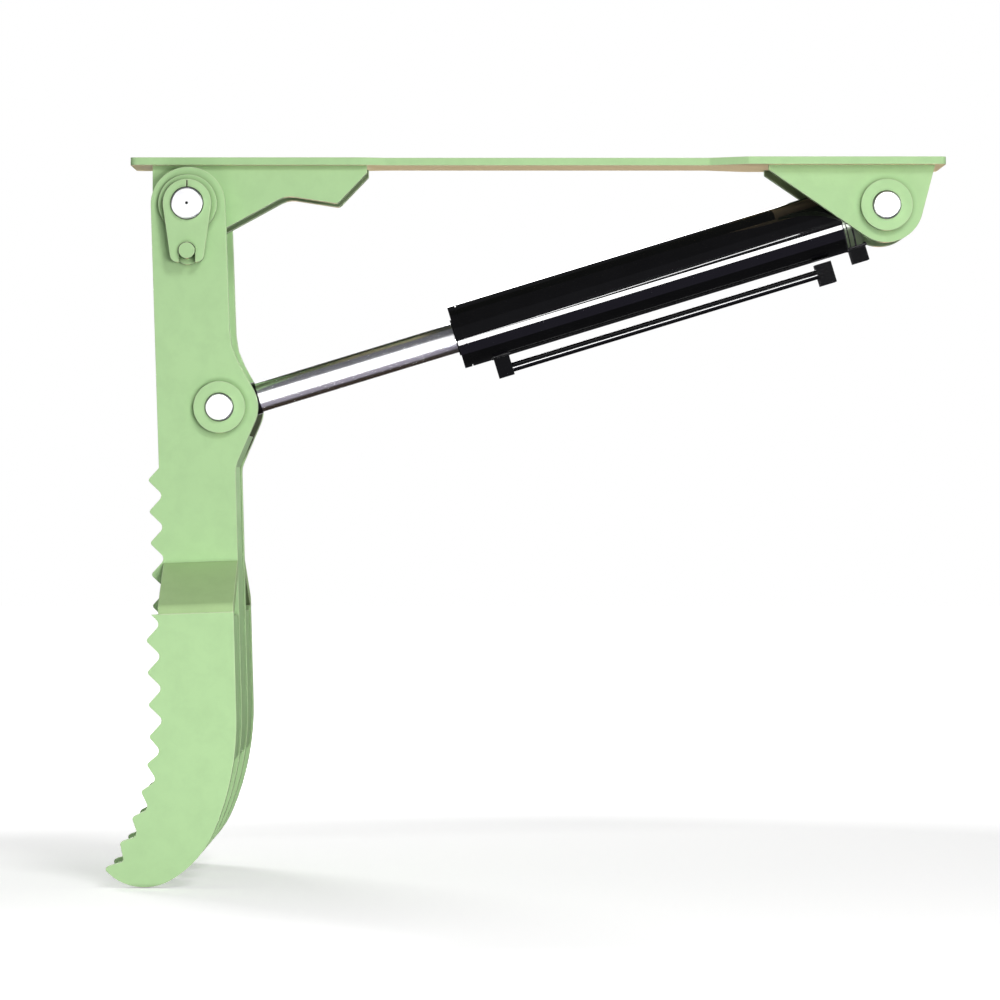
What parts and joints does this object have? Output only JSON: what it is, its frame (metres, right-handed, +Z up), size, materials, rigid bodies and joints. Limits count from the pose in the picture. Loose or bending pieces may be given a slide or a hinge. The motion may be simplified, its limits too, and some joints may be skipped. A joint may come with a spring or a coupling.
{
  "type": "hydraulic thumb",
  "caption": "Weld-on hydraulic thumb for an excavator arm: toothed flared tines on a base plate, swung by a hydraulic cylinder.",
  "frame": {"origin": "middle of the base plate's top face, the face that is welded under the excavator's arm", "axes": "+Z up, out of the weld face towards the arm; +X along the plate from the thumb pivot to the cylinder bracket; +Y across, away from the near side"},
  "size_m": [0.9863, 0.382, 0.8563],
  "materials": {
    "green_paint": "satin pale green paint, lightly mottled",
    "black_paint": "gloss black paint",
    "chrome": "hard chrome, polished",
    "ground_steel": "ground steel",
    "bronze": "plain bearing bronze",
    "seal_rubber": "matt",
    "cast_cap": "dark grey-green gloss paint"
  },
  "bodies": {
    "base": {"base_plate": "green_paint", "pivot_lug_left": "green_paint", "pivot_lug_right": "green_paint", "pivot_hub": "green_paint", "pivot_bush_left": "bronze", "pivot_bush_right": "bronze", "bracket_lug_left": "green_paint", "bracket_lug_right": "green_paint", "bracket_boss_left": "green_paint", "bracket_boss_right": "green_paint", "bracket_pin_left_end": "ground_steel", "bracket_pin_right_end": "ground_steel", "bracket_pin_flag": "green_paint", "bracket_flag_stud": "green_paint"},
    "thumb": {"side_plate_left": "green_paint", "side_plate_right": "green_paint", "outer_tine_left": "green_paint", "outer_tine_right": "green_paint", "flare_plate_left": "green_paint", "flare_plate_right": "green_paint", "back_plate_centre": "green_paint", "back_plate_left": "green_paint", "back_plate_right": "green_paint", "pivot_boss_left": "green_paint", "pivot_boss_right": "green_paint", "rod_boss_outer_left": "green_paint", "rod_boss_outer_right": "green_paint", "rod_boss_inner_left": "green_paint", "rod_boss_inner_right": "green_paint", "pivot_pin": "ground_steel", "pivot_pin_flag": "green_paint", "pivot_flag_stud": "green_paint", "pivot_flag_washer": "green_paint", "rod_pin": "ground_steel", "rod_pin_flag": "green_paint", "rod_flag_stud": "green_paint"},
    "rod": {"rod_eye": "black_paint", "rod_bush": "bronze", "piston_rod": "chrome", "piston": "ground_steel", "piston_seal": "seal_rubber", "piston_nut": "ground_steel"},
    "barrel": {"barrel_tube": "black_paint", "gland": "black_paint", "gland_wiper": "seal_rubber", "rod_seal": "seal_rubber", "barrel_cap": "cast_cap", "cap_bush": "bronze", "bracket_pin_core": "ground_steel", "head_port_block": "black_paint", "cap_port_block": "black_paint", "transfer_tube": "black_paint", "tube_end_block": "black_paint"}
  },
  "joints": [
    {"name": "thumb_swing", "type": "hinge", "parent": "base", "child": "thumb", "pos_m": [-0.4143, 0, -0.057], "axis": [0, 1, 0], "range_deg": [-28, 18]},
    {"name": "rod_pivot", "type": "hinge", "parent": "thumb", "child": "rod", "pos_m": [-0.3768, 0, -0.2975], "axis": [0, 1, 0], "range_deg": [-17.9, 27.7]},
    {"name": "cylinder_stroke", "type": "slide", "parent": "rod", "child": "barrel", "axis": [0.9568, 0, 0.2909], "range_m": [-0.116, 0.0745]}
  ],
  "couplings": [
    {"joint": "rod_pivot", "follows": "thumb_swing", "ratio": -0.983},
    {"joint": "cylinder_stroke", "follows": "thumb_swing", "m_per_rad": 0.2366}
  ]
}
